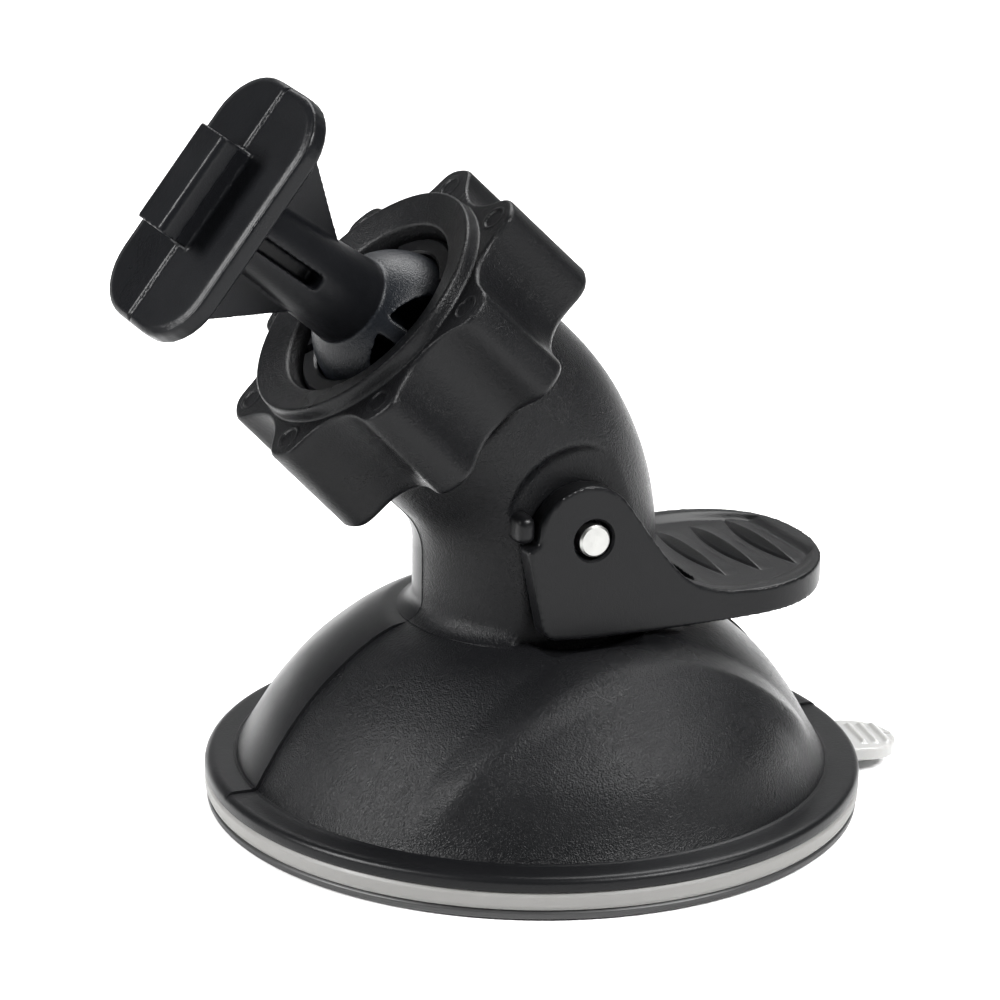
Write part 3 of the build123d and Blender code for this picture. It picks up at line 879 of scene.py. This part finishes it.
def make_pad():
    """Soft pad with a cupped underside, a thin lip under the flange and a socket for the post."""
    return lathed("pad_ring", [
        (0, 3.5, 0), (9.4, 3.5, 0.2), (9.4, 7.6, 0.2), (7.3, 7.6, 0.2), (7.3, 8.9, 0.3), (11.0, 8.9, 0.5),
        (11.0, 6.4, 1.5), (14.0, 4.5, 1.5), (26.0, 2.9, 1.0), (32.75, 2.87, 0.3), (33.0, 2.5, 0.3),
        (32.97, 1.5, 0.2), (32.75, 1.07, 0.2), (24.0, 1.05, 2), (8.0, 2.55, 3), (0, 2.55, 0),
    ])


def make_tab():
    """Pull tab with a rounded end and grip ridges across it."""
    turn = radians(-10)
    along = np.array((cos(turn), sin(turn), 0))
    across = np.cross(Z_AXIS, along)
    root, end, half = 30.5, 38.9, 4.2
    plan = [(root, -half, 0), (end, -half, 4.1), (end, half, 4.1), (root, half, 0)]
    tab = prism("pull_tab", rounded(plan, 0.4), np.zeros(3), along, across, 1.5, 2.85)
    melt(tab, 0.16, 3)
    points = vertices_of(tab)
    out, side = points @ along, points @ across
    top = smoothstep(2.5, 2.8, points[:, 2])
    inside = 1 - smoothstep(2.4, 3.1, np.abs(side))
    ridges = sum(0.32 * np.exp(-(((out - spot) / 0.32) ** 2)) for spot in (34.9, 36.2, 37.5))
    droop = 0.25 * smoothstep(34, end, out)
    points[:, 2] += top * inside * ridges - droop
    set_vertices(tab, points)
    return finish_mesh(tab)


def make_dark_underlayer():
    """Thin dished layer under the pad, which is given a near-black colour."""
    return lathed("underlayer_dish", [
        (0, 2.5, 0), (8.0, 2.5, 3), (24.0, 1.04, 2), (32.55, 1.04, 0.15), (32.85, 0.8, 0.25),
        (32.8, 0.25, 0.25), (32.4, 0, 0.3), (24.0, 0, 2), (8.0, 1.5, 3), (0, 1.5, 0),
    ])


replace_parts(finished(make_pad(), "root", "pad", pad_rubber), "suction_pad")
finished(make_tab(), "root", "pad", tab_rubber)
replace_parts(finished(make_dark_underlayer(), "root", "gel", under_pad_dark), "gel_layer")

# ---------------------------------------------------------------- CAD pieces that keep their shape
for name, material in (
    ("lever_pin", zinc), ("return_spring", wire_steel), ("spring_washer", wire_steel),
    ("pull_post", smooth_black), ("ball_core_left", stud_black), ("ball_core_right", stud_black),
):
    kept = frame["nodes"][name]
    kept.data.materials.clear()
    kept.data.materials.append(material)
    kept.data.polygons.foreach_set("material_index", [0] * len(kept.data.polygons))

# ---------------------------------------------------------------- where the camera looks
view_azimuth, view_elevation, view_roll = radians(24.77), radians(17.49), radians(-0.8)
view_distance, view_shift = 350.0, (-3.56, 29.11)
focal_length, sensor = 124.0, 36.0

ahead_level = np.array((sin(view_azimuth), cos(view_azimuth), 0))
level = np.cross(ahead_level, Z_AXIS)
forward = ahead_level * cos(view_elevation) - Z_AXIS * sin(view_elevation)
upright = np.cross(level, forward)
camera_right = level * cos(view_roll) - upright * sin(view_roll)
camera_up = level * sin(view_roll) + upright * cos(view_roll)
eye = level * view_shift[0] + upright * view_shift[1] - forward * view_distance


# ---------------------------------------------------------------- floor, light and camera
def make_floor():
    """A pale floor that curves up behind the object."""
    size, rise, sunk = 3000.0, 1500.0, 0.02
    back = size * 0.5
    section = rounded([(-size, 0, 0), (back, 0, rise * 0.7), (back, rise, 0)], 60, closed=False)
    points = []
    for spot, height in section:
        for side in (-size, size):
            points.append(ahead_level * spot + level * side + Z_AXIS * (height - sunk))
    faces = [(2 * k, 2 * k + 1, 2 * k + 3, 2 * k + 2) for k in range(len(section) - 1)]
    floor = new_object("floor", points, faces)
    material, shader = new_material("pale_floor", (0.93, 0.93, 0.93), 0.9, Specular_IOR_Level=0.1)
    floor.data.materials.append(material)


make_floor()

world = bpy.data.worlds.new("studio")
scene.world = world
world.use_nodes = True
world.node_tree.nodes["Background"].inputs["Color"].default_value = (1, 1, 1, 1)
world.node_tree.nodes["Background"].inputs["Strength"].default_value = 0.1


def add_area(name, right, up, back, size, power):
    """A soft box placed from the camera's point of view, in millimetres, aimed at the object."""
    aim = Z_AXIS * 30
    data = bpy.data.lights.new(name, "AREA")
    data.shape = "RECTANGLE"
    data.size, data.size_y = size[0] * MM, size[1] * MM
    data.energy = power
    lamp = bpy.data.objects.new(name, data)
    scene.collection.objects.link(lamp)
    place = level * right + Z_AXIS * up - ahead_level * cos(view_elevation) * back
    lamp.location = Vector((aim + place) * MM)
    lamp.rotation_mode = "QUATERNION"
    lamp.rotation_quaternion = Vector(-place).to_track_quat("-Z", "Y")


add_area("key", -620, 420, 250, (220, 340), 11.0)
add_area("fill", 430, 480, 310, (220, 220), 9.0)
add_area("top_back", 120, 640, -420, (620, 320), 8.0)

camera = bpy.data.objects.new("camera", bpy.data.cameras.new("camera"))
scene.collection.objects.link(camera)
camera.data.lens = focal_length
camera.data.sensor_width = sensor
camera.data.clip_start, camera.data.clip_end = 0.01, 20
turned_to = Matrix((camera_right, camera_up, -forward)).transposed()
camera.rotation_mode = "QUATERNION"
camera.rotation_quaternion = turned_to.to_quaternion()
camera.location = Vector(eye * MM)
scene.camera = camera
